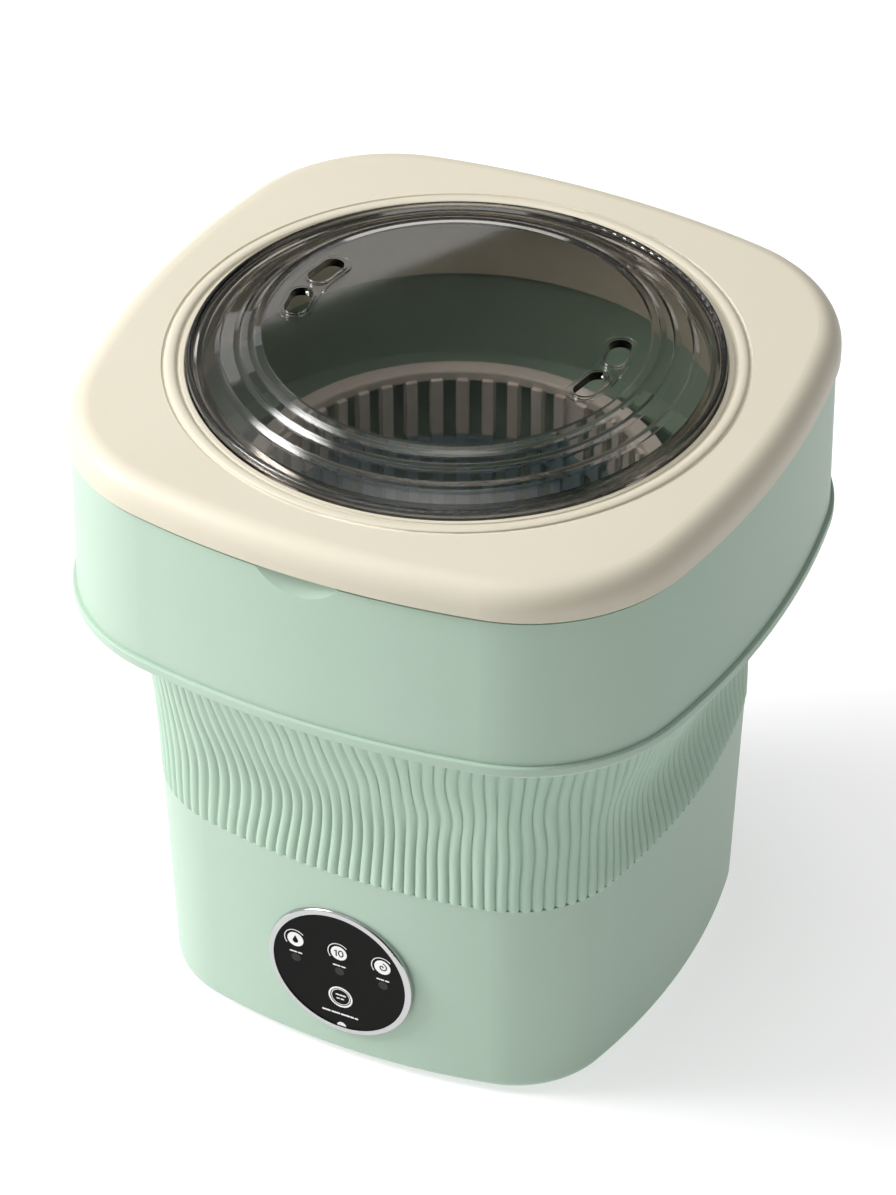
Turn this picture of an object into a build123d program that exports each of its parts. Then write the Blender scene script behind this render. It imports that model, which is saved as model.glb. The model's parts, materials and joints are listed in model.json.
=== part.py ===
from build123d import *
import math
import os

# Portable mini washer: base with drive, ribbed bellows, upper housing, cover, lid and basket.
# Millimetres, +Z up, origin at the bottom centre, control panel facing -Y.

os.makedirs("parts", exist_ok=True)

# Driving dimensions ---------------------------------------------------------
wall = 2.5                  # housing walls
side_bow = 2.7              # radius of a side's bow, in half widths
gap = 0.5                   # between pieces that lift apart

base_z = 2.5                # lower edge of the base housing
base_half = 119.5           # middle of a side, at the lower edge
base_corner = 50.0
base_top_corner = 54.0
base_draft = 2.27           # degrees, wider upward
base_top_z = 116.0
base_edge = 6.0             # rounding of the lower edge

basin_radius = 104.0
basin_floor_z = 60.0

bellows_z = base_top_z + 0.2
bellows_top_z = 231.5
bellows_wall = 2.0
bellows_flange = 2.0
# height, half width, corner radius and bow of the outlines that the sleeve passes through
bellows_sections = (
    (bellows_z, 124.0, 57.0, 2.7),
    (148.0, 117.5, 48.0, 12.0),
    (183.0, 130.0, 70.0, 2.7),
    (bellows_top_z - bellows_flange, 149.0, 132.0, 2.7),
)

upper_half = 158.0
upper_corner = 82.0
upper_z = 225.0
upper_top_z = 311.0
lip_height = 6.0
lip_proud = 2.0
liner_radius = 137.0
liner_top_z = 277.0

cover_half = 160.0
cover_corner = 84.0
cover_z = upper_top_z + 0.6
cover_top_z = 328.5
cover_edge = 11.0
cover_plate = 5.0           # thickness of the cover's top
opening_radius = 118.0
lid_radius = 123.0
lid_seat_z = 326.0

basket_radius = 94.0        # inner face of the slotted wall
basket_rim_radius = 103.0
basket_top_z = 253.0
basket_split_z = 218.5      # the rim ring above it, the cup below
basket_floor_z = 80.0
slot_count = 48
slot_width = 6.0
blank_every = 12            # every twelfth slot is left solid
slot_rows = ((214.0, 248.0), (154.0, 205.5), (94.0, 145.0))

shaft_radius = 4.0
drive_z = 19.0              # middle of the belt
belt_height = 6.0
large_pulley_radius = 42.0  # where the belt runs
small_pulley_radius = 10.0
motor_x, motor_y = 60.0, 36.0
motor_radius = 22.5

panel_z = 55.0
panel_radius = 37.5
panel_half = base_half + (panel_z - base_z) * math.tan(math.radians(base_draft))
panel_plane = Plane(
    origin=(0, -panel_half, panel_z),
    x_dir=(1, 0, 0),
    z_dir=(0, -math.cos(math.radians(base_draft)), -math.sin(math.radians(base_draft))),
)
key_radius = 4.2
key_spacing = 22.8
key_height = 12.2           # above the middle of the panel
key_places = ((-key_spacing, key_height), (0.0, key_height), (key_spacing, key_height))
start_place = (0.0, -15.7)
start_radius = 6.3


def soft_square(half, corner, bow=side_bow):
    """Square outline with gently bowed sides and round corners."""
    with BuildSketch(mode=Mode.PRIVATE) as outline:
        shift = half * (bow - 1)
        with Locations((0, shift)):
            Circle(half * bow)
        for x, y in ((0, -shift), (shift, 0), (-shift, 0)):
            with Locations((x, y)):
                Circle(half * bow, mode=Mode.INTERSECT)
        fillet(outline.vertices(), corner)
    return outline.sketch


def soft_block(half, corner, low, high, mode=Mode.ADD):
    """Upright block with the soft square outline, added to the part being built."""
    outline = Plane.XY.offset(low) * soft_square(half, corner)
    extrude(outline, amount=high - low, mode=mode)


def drum(radius, low, high, mode=Mode.ADD):
    """Upright round block on the middle axis, added to the part being built."""
    with Locations((0, 0, low)):
        Cylinder(radius, high - low, align=(Align.CENTER, Align.CENTER, Align.MIN), mode=mode)


def ring_places(radius, count, start=0.0):
    """Places evenly spaced round a circle."""
    return PolarLocations(radius, count, start_angle=start)


def save(piece, label):
    """Label a finished piece and write it."""
    piece.part.label = label
    export_step(piece.part, "parts/" + label + ".step")


def base_half_at(height):
    """Half width of the base housing's outer face at a height."""
    return base_half + (height - base_z) * math.tan(math.radians(base_draft))


def back_face_at(side, height):
    """Y of the base housing's outer back face, off centre by side, at a height."""
    half = base_half_at(height)
    return half - side ** 2 / (2 * side_bow * half)


# Base -----------------------------------------------------------------------
plate_half = 109.0
plate_corner = 40.0
plate_top_z = base_z + 3.0
jack_place = (-52.0, 22.0)      # x and z on the back wall
spout_place = (44.0, 30.0)
panel_pocket = 3.5
bezel_flange = 1.2

with BuildPart() as base_housing:
    with BuildSketch(Plane.XY.offset(base_z)):
        add(soft_square(base_half, base_corner))
    with BuildSketch(Plane.XY.offset(base_top_z)):
        add(soft_square(base_half_at(base_top_z), base_top_corner))
    loft()
    fillet(base_housing.faces().sort_by(Axis.Z)[0].edges(), base_edge)
    with BuildSketch(Plane.XY.offset(base_z + 7)):
        add(soft_square(base_half_at(base_z + 7) - wall, base_corner - wall))
    with BuildSketch(Plane.XY.offset(base_top_z)):
        add(soft_square(base_half_at(base_top_z) - wall, base_top_corner - wall))
    loft(mode=Mode.SUBTRACT)
    soft_block(plate_half - 5, plate_corner - 5, base_z, base_z + 8, mode=Mode.SUBTRACT)
    soft_block(plate_half + 0.3, plate_corner + 0.3, base_z, plate_top_z, mode=Mode.SUBTRACT)
    # ledge under the basin's flange
    with BuildSketch(Plane.XY.offset(107.5)):
        add(soft_square(base_half_at(107.5) - 1, base_corner + 1))
        add(soft_square(113.0, base_corner - 6), mode=Mode.SUBTRACT)
    extrude(amount=5.5)
    # bosses that the bottom plate is screwed to
    with BuildSketch(Plane.XY.offset(plate_top_z)):
        with ring_places(104.5, 4):
            Circle(5.5)
    extrude(amount=14)
    with BuildSketch(Plane.XY.offset(plate_top_z)):
        with ring_places(104.5, 4):
            Circle(1.5)
    extrude(amount=10, mode=Mode.SUBTRACT)
    # stepped pocket for the control panel
    with BuildSketch(panel_plane.offset(-bezel_flange)):
        Circle(panel_radius)
    extrude(amount=20, mode=Mode.SUBTRACT)
    with BuildSketch(panel_plane.offset(-panel_pocket)):
        Circle(panel_radius - 1.5)
    extrude(amount=20, mode=Mode.SUBTRACT)
    with BuildSketch(panel_plane.offset(-8)):
        Circle(panel_radius - 5.5)
    extrude(amount=20, mode=Mode.SUBTRACT)
    # power jack and drain holes in the back wall
    with BuildSketch(Plane.XZ.offset(-base_half + 8)):
        with Locations(jack_place):
            Circle(5.6)
        with Locations(spout_place):
            Circle(8.0)
    extrude(amount=-20, mode=Mode.SUBTRACT)
save(base_housing, "base_housing")

with BuildPart() as bottom_plate:
    soft_block(plate_half, plate_corner, base_z, plate_top_z)
    with BuildSketch(Plane.XY.offset(base_z)):
        with ring_places(104.5, 4):
            Circle(1.7)
        with ring_places(96.0, 4, start=45):
            Circle(3.0)
        for row in range(7):
            with Locations((0, 14 * row - 42)):
                SlotOverall(70, 4)
    extrude(amount=5, mode=Mode.SUBTRACT)
save(bottom_plate, "bottom_plate")

for number, angle in enumerate((45, 135, 225, 315), start=1):
    foot_x = 96.0 * math.cos(math.radians(angle))
    foot_y = 96.0 * math.sin(math.radians(angle))
    with BuildPart() as foot:
        with BuildSketch(Plane.XY):
            with Locations((foot_x, foot_y)):
                Circle(9.0)
        extrude(amount=base_z)
        fillet(foot.faces().sort_by(Axis.Z)[0].edges(), 0.8)
        with BuildSketch(Plane.XY.offset(base_z)):
            with Locations((foot_x, foot_y)):
                Circle(3.0)
        extrude(amount=4.5)
    save(foot, "foot_" + str(number))

with BuildPart() as bottom_screws:
    with BuildSketch(Plane.XY.offset(base_z - 1.8)):
        with ring_places(104.5, 4):
            Circle(3.0)
    extrude(amount=1.8)
    with BuildSketch(Plane.XY.offset(base_z)):
        with ring_places(104.5, 4):
            Circle(1.5)
    extrude(amount=11)
save(bottom_screws, "bottom_screws")

drain_x, drain_y = spout_place[0], 84.0
basin_wall_outer = basin_radius + 2.2
basin_flange_z = 113.0
with BuildPart() as basin_floor:
    drum(basin_wall_outer, basin_floor_z - wall, basin_floor_z)
    with BuildSketch(Plane.XY.offset(basin_floor_z - 5)):
        Circle(11.0)
        with Locations((drain_x, drain_y)):
            Circle(7.0)
    extrude(amount=10, mode=Mode.SUBTRACT)
save(basin_floor, "basin_floor")

with BuildPart() as basin_wall:
    drum(basin_wall_outer, basin_floor_z, basin_flange_z)
    drum(basin_radius, basin_floor_z - 1, basin_flange_z + 1, mode=Mode.SUBTRACT)
save(basin_wall, "basin_wall")

with BuildPart() as basin_flange:
    soft_block(base_half_at(basin_flange_z) - wall - 0.4, base_corner + 2, basin_flange_z, base_top_z)
    drum(basin_radius, basin_flange_z - 1, base_top_z + 1, mode=Mode.SUBTRACT)
save(basin_flange, "basin_flange")

clamp_half = 118.0
with BuildPart() as lower_clamp_ring:
    soft_block(clamp_half, base_corner, base_top_z + 2.2, base_top_z + 5.2)
    soft_block(clamp_half - 7, base_corner - 7, base_top_z, base_top_z + 9, mode=Mode.SUBTRACT)
    with BuildSketch(Plane.XY.offset(base_top_z)):
        with ring_places(clamp_half - 3.8, 4):
            Circle(1.7)
    extrude(amount=10, mode=Mode.SUBTRACT)
save(lower_clamp_ring, "lower_clamp_ring")

with BuildPart() as lower_clamp_screws:
    with BuildSketch(Plane.XY.offset(base_top_z + 5.2)):
        with ring_places(clamp_half - 3.8, 4):
            Circle(3.0)
    extrude(amount=2)
    with BuildSketch(Plane.XY.offset(base_top_z + 2.2)):
        with ring_places(clamp_half - 3.8, 4):
            Circle(1.7)
    extrude(amount=3)
save(lower_clamp_screws, "lower_clamp_screws")

with BuildPart() as bearing_housing:
    drum(17.0, 30.0, basin_floor_z - wall)
    drum(28.0, basin_floor_z - wall - 3, basin_floor_z - wall)
    drum(8.5, 29.0, basin_floor_z, mode=Mode.SUBTRACT)
    drum(11.0, 29.0, 38.0, mode=Mode.SUBTRACT)
    drum(11.0, 47.0, basin_floor_z, mode=Mode.SUBTRACT)
    with BuildSketch(Plane.XY.offset(50)):
        with ring_places(23.0, 4, start=45):
            Circle(1.5)
    extrude(amount=10, mode=Mode.SUBTRACT)
save(bearing_housing, "bearing_housing")

with BuildPart() as bearing_screws:
    with BuildSketch(Plane.XY.offset(basin_floor_z - wall - 5)):
        with ring_places(23.0, 4, start=45):
            Circle(2.8)
    extrude(amount=2)
    with BuildSketch(Plane.XY.offset(basin_floor_z - wall - 3)):
        with ring_places(23.0, 4, start=45):
            Circle(1.5)
    extrude(amount=3)
save(bearing_screws, "bearing_screws")


def bearing(low):
    """Sealed ball bearing, 22 across and 7 tall, with a shield groove on both sides."""
    with BuildPart() as ring:
        drum(11.0, low, low + 7)
        drum(shaft_radius + 0.04, low - 1, low + 8, mode=Mode.SUBTRACT)
        for face_z in (low, low + 6.4):
            drum(9.2, face_z, face_z + 0.6, mode=Mode.SUBTRACT)
            drum(5.8, face_z, face_z + 0.6)
        drum(shaft_radius + 0.04, low - 1, low + 8, mode=Mode.SUBTRACT)
    return ring


bearing_lower = bearing(31.0)
save(bearing_lower, "bearing_lower")
bearing_upper = bearing(47.0)
save(bearing_upper, "bearing_upper")

with BuildPart() as shaft_seal:
    drum(11.0, 54.5, 62.0)
    drum(shaft_radius + 0.06, 54.0, 63.0, mode=Mode.SUBTRACT)
    drum(8.5, 60.5, 62.0, mode=Mode.SUBTRACT)
    drum(5.5, 60.5, 63.0)
    drum(shaft_radius + 0.06, 54.0, 64.0, mode=Mode.SUBTRACT)
save(shaft_seal, "shaft_seal")

# Motor and its bracket ------------------------------------------------------
bracket_z = 26.5
motor_plane = Plane.XY.offset(bracket_z)
motor_spot = (motor_x, motor_y)
post_angles = (-59, 31, 121)

with BuildPart() as motor_bracket:
    with BuildSketch(motor_plane):
        with Locations(motor_spot):
            Circle(24.0)
            with PolarLocations(24.0, 1, start_angle=post_angles[0]):
                Circle(6.0)
            with PolarLocations(24.0, 1, start_angle=post_angles[1]):
                Circle(6.0)
            with PolarLocations(24.0, 1, start_angle=post_angles[2]):
                Circle(6.0)
        with Locations(motor_spot):
            Circle(7.0, mode=Mode.SUBTRACT)
            with PolarLocations(12.5, 2, start_angle=90):
                Circle(1.5, mode=Mode.SUBTRACT)
    extrude(amount=2.0)
    for angle in post_angles:
        post_x = motor_x + 25.0 * math.cos(math.radians(angle))
        post_y = motor_y + 25.0 * math.sin(math.radians(angle))
        with BuildSketch(Plane.XY.offset(plate_top_z)):
            with Locations((post_x, post_y)):
                Circle(4.0)
        extrude(amount=bracket_z - plate_top_z)
save(motor_bracket, "motor_bracket")

with BuildPart() as motor_can:
    with BuildSketch(motor_plane.offset(2)):
        with Locations(motor_spot):
            Circle(motor_radius)
    extrude(amount=27)
    fillet(motor_can.faces().sort_by(Axis.Z)[-1].edges(), 2)
    with BuildSketch(motor_plane.offset(2)):
        with Locations(motor_spot):
            Circle(2.6)
            with PolarLocations(12.5, 2, start_angle=90):
                Circle(1.5)
    extrude(amount=8, mode=Mode.SUBTRACT)
save(motor_can, "motor_can")

with BuildPart() as motor_screws:
    with BuildSketch(motor_plane.offset(-1.8)):
        with Locations(motor_spot):
            with PolarLocations(12.5, 2, start_angle=90):
                Circle(2.6)
    extrude(amount=1.8)
    with BuildSketch(motor_plane):
        with Locations(motor_spot):
            with PolarLocations(12.5, 2, start_angle=90):
                Circle(1.5)
    extrude(amount=8)
save(motor_screws, "motor_screws")

# The motor's shaft and pulley turn together.
with BuildPart() as motor_shaft:
    with BuildSketch(Plane.XY.offset(drive_z - 6)):
        with Locations(motor_spot):
            Circle(2.5)
    extrude(amount=bracket_z + 8 - drive_z + 6)
save(motor_shaft, "motor_shaft")

with BuildPart() as motor_pulley:
    with BuildSketch(Plane.XY.offset(drive_z - 5)):
        with Locations(motor_spot):
            Circle(small_pulley_radius + 2)
    extrude(amount=10)
    with BuildSketch(Plane.XY.offset(drive_z - belt_height / 2 - 0.4)):
        with Locations(motor_spot):
            Circle(small_pulley_radius + 3)
            Circle(small_pulley_radius, mode=Mode.SUBTRACT)
    extrude(amount=belt_height + 0.8, mode=Mode.SUBTRACT)
    with BuildSketch(Plane.XY.offset(drive_z - 6)):
        with Locations(motor_spot):
            Circle(2.5)
    extrude(amount=12, mode=Mode.SUBTRACT)
save(motor_pulley, "motor_pulley")


def belt_loop(clearance):
    """Outline that wraps both pulleys at a clearance."""
    with BuildSketch(mode=Mode.PRIVATE) as loop:
        Circle(large_pulley_radius + clearance)
        with Locations(motor_spot):
            Circle(small_pulley_radius + clearance)
        make_hull()
    return loop.sketch


with BuildPart() as drive_belt:
    with BuildSketch(Plane.XY.offset(drive_z - belt_height / 2)):
        add(belt_loop(2.0))
        add(belt_loop(0.35), mode=Mode.SUBTRACT)
    extrude(amount=belt_height)
save(drive_belt, "drive_belt")

# Shaft, large pulley and pulsator turn together -----------------------------
with BuildPart() as drive_shaft:
    drum(shaft_radius, 9.5, 74.0)
    chamfer(drive_shaft.faces().sort_by(Axis.Z)[0].edges(), 0.5)
save(drive_shaft, "drive_shaft")

with BuildPart() as large_pulley:
    drum(large_pulley_radius + 2, drive_z - 5, drive_z + 5)
    with BuildSketch(Plane.XY.offset(drive_z - belt_height / 2 - 0.4)):
        Circle(large_pulley_radius + 3)
        Circle(large_pulley_radius, mode=Mode.SUBTRACT)
    extrude(amount=belt_height + 0.8, mode=Mode.SUBTRACT)
    with BuildSketch(Plane.XY.offset(drive_z - 5)):
        with ring_places(26.0, 6):
            Circle(9.0)
    extrude(amount=10, mode=Mode.SUBTRACT)
    drum(11.0, drive_z - 5, drive_z + 8)
    drum(shaft_radius, 0.0, 40.0, mode=Mode.SUBTRACT)
save(large_pulley, "large_pulley")

with BuildPart() as pulley_nut:
    with BuildSketch(Plane.XY.offset(drive_z - 9.5)):
        RegularPolygon(7.0, 6)
        Circle(shaft_radius, mode=Mode.SUBTRACT)
    extrude(amount=4.5)
save(pulley_nut, "pulley_nut")

hub_radius = 17.0
vane_count = 6
with BuildPart() as pulsator:
    drum(80.0, 63.5, 67.5)
    fillet(pulsator.faces().sort_by(Axis.Z)[-1].edges(), 2)
    with BuildSketch(Plane.XZ):
        with BuildLine():
            Polyline((0, 66), (50, 66), (30, 70), (hub_radius + 2, 76), (hub_radius, 78))
            Polyline((hub_radius, 78), (hub_radius, 88), (0, 88), (0, 66))
        make_face()
    revolve(axis=Axis.Z)
    for turn in range(vane_count):
        with BuildSketch(Plane.XY.offset(67)):
            with PolarLocations(48.0, 1, start_angle=turn * 360 / vane_count):
                SlotOverall(56, 9)
        extrude(amount=8, taper=20)
    with BuildSketch(Plane.XY.offset(63)):
        with ring_places(68.0, 24):
            Circle(2.5)
    extrude(amount=6, mode=Mode.SUBTRACT)
    drum(shaft_radius, 60.0, 74.0, mode=Mode.SUBTRACT)
    drum(2.0, 73.0, 82.0, mode=Mode.SUBTRACT)
    drum(9.0, 82.0, 90.0, mode=Mode.SUBTRACT)
save(pulsator, "pulsator")

with BuildPart() as pulsator_screw:
    drum(2.0, 74.0, 82.0)
    drum(4.0, 82.0, 84.5)
save(pulsator_screw, "pulsator_screw")

with BuildPart() as pulsator_cap:
    drum(9.0, 85.0, 89.5)
    fillet(pulsator_cap.faces().sort_by(Axis.Z)[-1].edges(), 1.5)
save(pulsator_cap, "pulsator_cap")

# Control panel --------------------------------------------------------------
with BuildPart() as control_bezel:
    with BuildSketch(panel_plane.offset(-panel_pocket)):
        Circle(panel_radius - 1.6)
    extrude(amount=panel_pocket)
    with BuildSketch(panel_plane.offset(-bezel_flange)):
        Circle(panel_radius)
    extrude(amount=bezel_flange + 1.6)
    fillet(control_bezel.edges().filter_by(GeomType.CIRCLE).group_by(Axis.Y)[0], 1.1)
    with BuildSketch(panel_plane.offset(-5)):
        Circle(panel_radius - 3.0)
    extrude(amount=10, mode=Mode.SUBTRACT)
save(control_bezel, "control_bezel")

glass_face = 1.0
with BuildPart() as control_glass:
    with BuildSketch(panel_plane.offset(-panel_pocket)):
        Circle(panel_radius - 3.0)
    extrude(amount=panel_pocket + glass_face)
    with BuildSketch(panel_plane.offset(glass_face - 0.3)):
        with Locations(*key_places):
            Circle(key_radius)
        with Locations(start_place):
            Circle(start_radius)
            Circle(start_radius - 0.9, mode=Mode.SUBTRACT)
    extrude(amount=1, mode=Mode.SUBTRACT)
save(control_glass, "control_glass")

with BuildPart() as key_inlays:
    with BuildSketch(panel_plane.offset(glass_face - 0.3)):
        with Locations(*key_places):
            Circle(key_radius)
        with Locations(start_place):
            Circle(start_radius)
            Circle(start_radius - 0.9, mode=Mode.SUBTRACT)
    extrude(amount=0.4)
save(key_inlays, "key_inlays")

board_back = -11.0
led_places = ((-key_spacing, 0.7), (0.0, 0.7), (key_spacing, 0.7))
with BuildPart() as control_board:
    with BuildSketch(panel_plane.offset(board_back)):
        Circle(30.0)
    extrude(amount=1.6)
save(control_board, "control_board")

with BuildPart() as control_leds:
    with BuildSketch(panel_plane.offset(board_back + 1.6)):
        with Locations(*led_places):
            Circle(1.5)
    extrude(amount=4.0)
save(control_leds, "control_leds")

with BuildPart() as control_standoffs:
    with BuildSketch(panel_plane.offset(board_back + 1.6)):
        with PolarLocations(27.0, 4, start_angle=45):
            Circle(2.2)
    extrude(amount=-board_back - 1.6 - panel_pocket)
save(control_standoffs, "control_standoffs")

# Power board, jack, drain and cable at the back -----------------------------
board_z = plate_top_z + 5
board_x, board_y = -38.0, 62.0
cable_x = -14.0
cable_z = plate_top_z + 1.9
with BuildPart() as power_board:
    with BuildSketch(Plane.XY.offset(board_z)):
        with Locations((board_x, board_y)):
            Rectangle(56, 40)
    extrude(amount=1.6)
    with BuildSketch(Plane.XY.offset(plate_top_z)):
        with Locations((board_x, board_y)):
            with GridLocations(30, 32, 2, 2):
                Circle(3.0)
    extrude(amount=board_z - plate_top_z)
    with BuildSketch(Plane.XY.offset(plate_top_z + 0.3)):
        with Locations((cable_x, board_y - 12)):
            Rectangle(7, 8)
    extrude(amount=board_z - plate_top_z - 0.3)
save(power_board, "power_board")

with BuildPart() as power_components:
    with BuildSketch(Plane.XY.offset(board_z + 1.6)):
        with Locations((board_x - 12, board_y + 4)):
            Rectangle(20, 18)
    extrude(amount=16)
    with BuildSketch(Plane.XY.offset(board_z + 1.6)):
        with Locations((board_x, board_y)):
            with Locations((10, 8), (20, 8), (10, -10)):
                Circle(4.0)
    extrude(amount=14)
    with BuildSketch(Plane.XY.offset(board_z + 1.6)):
        with Locations((board_x - 10, board_y - 13)):
            Rectangle(14, 5)
    extrude(amount=8)
save(power_components, "power_components")

jack_x, jack_z = jack_place
back_inner = back_face_at(jack_x - 6.5, jack_z) - wall
with BuildPart() as dc_jack:
    with BuildSketch(Plane.XZ.offset(-back_inner + 14)):
        with Locations((jack_x, jack_z)):
            Rectangle(13, 12)
    extrude(amount=-10)
    with BuildSketch(Plane.XZ.offset(-back_inner + 4)):
        with Locations((jack_x, jack_z)):
            Circle(5.4)
    extrude(amount=-9)
    with BuildSketch(Plane.XZ.offset(-back_inner + 12)):
        with Locations((jack_x, jack_z)):
            Circle(3.2)
            Circle(1.0, mode=Mode.SUBTRACT)
    extrude(amount=-20, mode=Mode.SUBTRACT)
save(dc_jack, "dc_jack")

spout_x, spout_z = spout_place
spout_flange_radius = 11.5
spout_face = back_face_at(spout_x - spout_flange_radius, spout_z + spout_flange_radius)
with BuildPart() as drain_spout:
    with BuildSketch(Plane.XZ.offset(-spout_face + 10)):
        with Locations((spout_x, spout_z)):
            Circle(7.8)
    extrude(amount=-24)
    with BuildSketch(Plane.XZ.offset(-spout_face - 0.4)):
        with Locations((spout_x, spout_z)):
            Circle(spout_flange_radius)
    extrude(amount=-2)
    with BuildSketch(Plane.XZ.offset(-spout_face + 20)):
        with Locations((spout_x, spout_z)):
            Circle(5.0)
    extrude(amount=-50, mode=Mode.SUBTRACT)
save(drain_spout, "drain_spout")

with BuildPart() as drain_tube:
    with BuildLine() as drain_route:
        down = Line((drain_x, drain_y, basin_floor_z), (drain_x, drain_y, spout_z + 15))
        bend = TangentArc(down @ 1, (drain_x, drain_y + 15, spout_z), tangent=down % 1)
        Line(bend @ 1, (drain_x, spout_face - 10, spout_z))
    with BuildSketch(Plane(origin=down @ 0, z_dir=down % 0)):
        Circle(7.0)
        Circle(5.0, mode=Mode.SUBTRACT)
    sweep()
save(drain_tube, "drain_tube")

with BuildPart() as drain_cap:
    with BuildSketch(Plane.XZ.offset(-spout_face - 3.4)):
        with Locations((spout_x, spout_z)):
            Circle(10.5)
    extrude(amount=-13)
    fillet(drain_cap.faces().sort_by(Axis.Y)[-1].edges(), 2)
    with BuildSketch(Plane.XZ.offset(-spout_face - 3.4)):
        with Locations((spout_x, spout_z)):
            Circle(7.85)
    extrude(amount=-10.8, mode=Mode.SUBTRACT)
save(drain_cap, "drain_cap")

cable_bend = 8.0
cable_start = panel_plane.offset(board_back - 0.1).from_local_coords(Vector(cable_x, -20, 0))
with BuildPart() as panel_cable:
    with BuildLine() as cable_route:
        inward = Line(cable_start, (cable_x, cable_start.Y + 4, cable_start.Z))
        first = TangentArc(
            inward @ 1,
            (cable_x, cable_start.Y + 4 + cable_bend, cable_start.Z - cable_bend),
            tangent=inward % 1,
        )
        drop = Line(first @ 1, (cable_x, (first @ 1).Y, cable_z + cable_bend))
        second = TangentArc(
            drop @ 1,
            (cable_x, (first @ 1).Y + cable_bend, cable_z),
            tangent=drop % 1,
        )
        Line(second @ 1, (cable_x, board_y - 16, cable_z))
    with BuildSketch(Plane(origin=inward @ 0, z_dir=inward % 0)):
        Circle(1.6)
    sweep()
save(panel_cable, "panel_cable")

# Bellows --------------------------------------------------------------------
flange_half = upper_half - wall - gap
flange_corner = upper_corner - wall - gap

def sleeve_outlines(inset):
    """Outlines up the bellows, set in by the given amount."""
    return [
        Plane.XY.offset(height) * soft_square(half - inset, corner - inset, bow)
        for height, half, corner, bow in bellows_sections
    ]


with BuildPart() as bellows:
    flange_z, sleeve_half, sleeve_corner, _ = bellows_sections[-1]
    loft(sleeve_outlines(0.0))
    # flange that the upper clamp ring holds
    soft_block(flange_half, flange_corner, flange_z, bellows_top_z)
    loft(sleeve_outlines(bellows_wall), mode=Mode.SUBTRACT)
    soft_block(sleeve_half - bellows_wall, sleeve_corner - bellows_wall, flange_z - 0.01,
               bellows_top_z + 1, mode=Mode.SUBTRACT)
    # flange that the lower clamp ring holds
    _, sleeve_half, sleeve_corner, _ = bellows_sections[0]
    with BuildSketch(Plane.XY.offset(bellows_z)):
        add(soft_square(sleeve_half - 1, sleeve_corner - 1))
        add(soft_square(111.5, base_corner - 6), mode=Mode.SUBTRACT)
    extrude(amount=bellows_flange)
save(bellows, "bellows")

# Upper housing --------------------------------------------------------------
shadow_gap = 1.2
notch_width = 45.0
notch_drop = 11.0
notch_depth = 8.0
notch_rim = (notch_width ** 2 / 4 + notch_drop ** 2) / (2 * notch_drop)
notch_ball = (notch_rim ** 2 + notch_depth ** 2) / (2 * notch_depth)
pad_half_width = 32.0

with BuildPart() as upper_housing:
    soft_block(upper_half, upper_corner, upper_z, upper_top_z)
    soft_block(upper_half + lip_proud, upper_corner + lip_proud, upper_z, upper_z + lip_height)
    fillet(upper_housing.faces().sort_by(Axis.Z)[0].edges(), 2.4)
    lip_step = upper_housing.faces().filter_by(
        lambda face: abs(face.center().Z - upper_z - lip_height) < 0.01)
    fillet(lip_step[0].outer_wire().edges(), 0.8)
    soft_block(upper_half - wall, upper_corner - wall, upper_z, upper_top_z, mode=Mode.SUBTRACT)
    # thicker wall behind the finger notch
    with BuildSketch(Plane.XY.offset(upper_top_z - 20)):
        with Locations((0, -upper_half + 4.4)):
            Rectangle(2 * pad_half_width, 5.2)
    extrude(amount=20)
    with Locations((0, -upper_half - notch_ball + notch_depth, upper_top_z + notch_rim - notch_drop)):
        Sphere(notch_ball, mode=Mode.SUBTRACT)
    # shadow gap under the cover
    with BuildSketch(Plane.XY.offset(upper_top_z - shadow_gap)):
        add(soft_square(upper_half + 1, upper_corner + 1))
        add(soft_square(upper_half - shadow_gap, upper_corner - shadow_gap), mode=Mode.SUBTRACT)
    extrude(amount=shadow_gap, mode=Mode.SUBTRACT)
    # ledge that carries the tub liner
    with BuildSketch(Plane.XY.offset(liner_top_z - 6.5)):
        add(soft_square(upper_half - wall + 0.6, upper_corner - wall))
        add(soft_square(upper_half - wall - 6, upper_corner - wall - 6), mode=Mode.SUBTRACT)
    extrude(amount=4)
save(upper_housing, "upper_housing")

liner_wall_outer = liner_radius + 2.5
liner_plate_z = liner_top_z - 2.5
ledge_z = bellows_top_z + 2.5
with BuildPart() as liner_plate:
    soft_block(flange_half, flange_corner, liner_plate_z, liner_top_z)
    drum(liner_radius + 5, liner_top_z, liner_top_z + 2)
    fillet(liner_plate.faces().sort_by(Axis.Z)[-1].edges(), 1.6)
    drum(liner_radius, liner_plate_z - 1, liner_top_z + 3, mode=Mode.SUBTRACT)
    fillet(liner_plate.edges().filter_by(GeomType.CIRCLE).filter_by(
        lambda edge: abs(edge.radius - liner_radius) < 0.01).sort_by(Axis.Z)[-1], 1.8)
save(liner_plate, "liner_plate")

with BuildPart() as liner_wall:
    drum(liner_wall_outer, ledge_z, liner_plate_z)
    drum(liner_radius, ledge_z - 1, liner_plate_z + 1, mode=Mode.SUBTRACT)
save(liner_wall, "liner_wall")

with BuildPart() as liner_ledge:
    soft_block(flange_half, flange_corner, bellows_top_z, ledge_z)
    drum(124.0, bellows_top_z - 1, ledge_z + 1, mode=Mode.SUBTRACT)
save(liner_ledge, "liner_ledge")

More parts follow.
